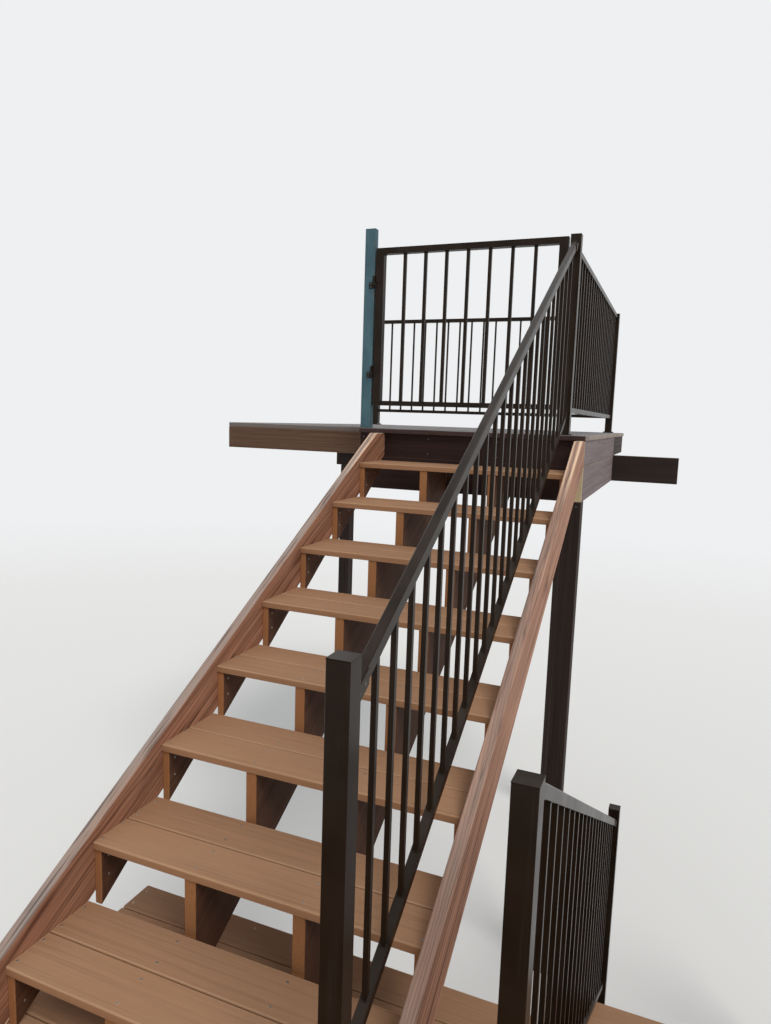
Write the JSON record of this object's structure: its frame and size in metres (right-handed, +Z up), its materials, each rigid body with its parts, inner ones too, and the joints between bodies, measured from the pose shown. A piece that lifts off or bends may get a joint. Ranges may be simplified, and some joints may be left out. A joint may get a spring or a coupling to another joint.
{
  "type": "deck stairs",
  "caption": "Outdoor timber stairs in two flights with a landing and an upper deck, open risers, sloping and level steel railings, and a hinged gate at the head of the upper flight.",
  "frame": {"origin": "on the ground straight below the left end of the upper flight's first nosing, in the foot of the landing post there", "axes": "+X across the flights away from the house, +Y up the upper flight, +Z up"},
  "size_m": [3.468, 6.4196, 3.9908],
  "materials": {
    "tread_boards": "stained tread and landing boards, worn along the nosings",
    "deck_boards": "stained deck boards, greyed by weather",
    "outer_stringers": "stained planks with greyed top edges",
    "inner_stringers": "sawn planks and blocks with bare cuts",
    "weathered_trim": "weathered trim boards, pale and greyish",
    "front_trim": "dark stained trim boards",
    "dark_timber": "dark stained beams, posts and deck rims",
    "frame_timber": "stained joists and rims",
    "painted_trim": "painted wood, blue green and chalky",
    "hinge_steel": "black powder coat",
    "railing_steel": "satin dark bronze powder coat"
  },
  "bodies": {
    "structure": {"upper_left_stringer": "outer_stringers", "upper_right_stringer": "outer_stringers", "upper_inner_stringers": "inner_stringers", "upper_treads": "tread_boards", "upper_tread_blocks": "inner_stringers", "landing_boards": "tread_boards", "landing_boards_under_flight": "tread_boards", "landing_joists": "frame_timber", "landing_side_rims": "frame_timber", "landing_end_rims": "frame_timber", "landing_beams": "dark_timber", "landing_posts": "dark_timber", "lower_left_stringer": "outer_stringers", "lower_right_stringer": "outer_stringers", "lower_inner_stringers": "inner_stringers", "lower_treads": "tread_boards", "lower_tread_blocks": "inner_stringers", "deck_boards": "deck_boards", "deck_nosing_board": "deck_boards", "deck_joists": "frame_timber", "deck_side_rims": "dark_timber", "deck_end_rims": "frame_timber", "deck_ledger": "frame_timber", "deck_front_trim": "front_trim", "deck_side_trim": "weathered_trim", "deck_front_beam": "dark_timber", "deck_back_beam": "dark_timber", "deck_posts": "dark_timber", "upper_foot_post": "railing_steel", "upper_head_post": "railing_steel", "upper_railing": "railing_steel", "deck_side_railing": "railing_steel", "deck_back_railing": "railing_steel", "deck_railing_posts": "railing_steel", "lower_head_posts": "railing_steel", "lower_foot_posts": "railing_steel", "lower_left_railing": "railing_steel", "lower_right_railing": "railing_steel", "landing_side_railing": "railing_steel", "landing_near_railing": "railing_steel", "landing_railing_posts": "railing_steel", "gate_hinge_post": "painted_trim", "gate_hinge_halves": "hinge_steel"},
    "gate": {"gate_leaf": "railing_steel"}
  },
  "joints": [
    {"name": "gate_swing", "type": "hinge", "parent": "structure", "child": "gate", "pos_m": [-0.0914, 2.4559, 3.2028], "axis": [0, 0, -1], "range_deg": [0, 90]}
  ]
}
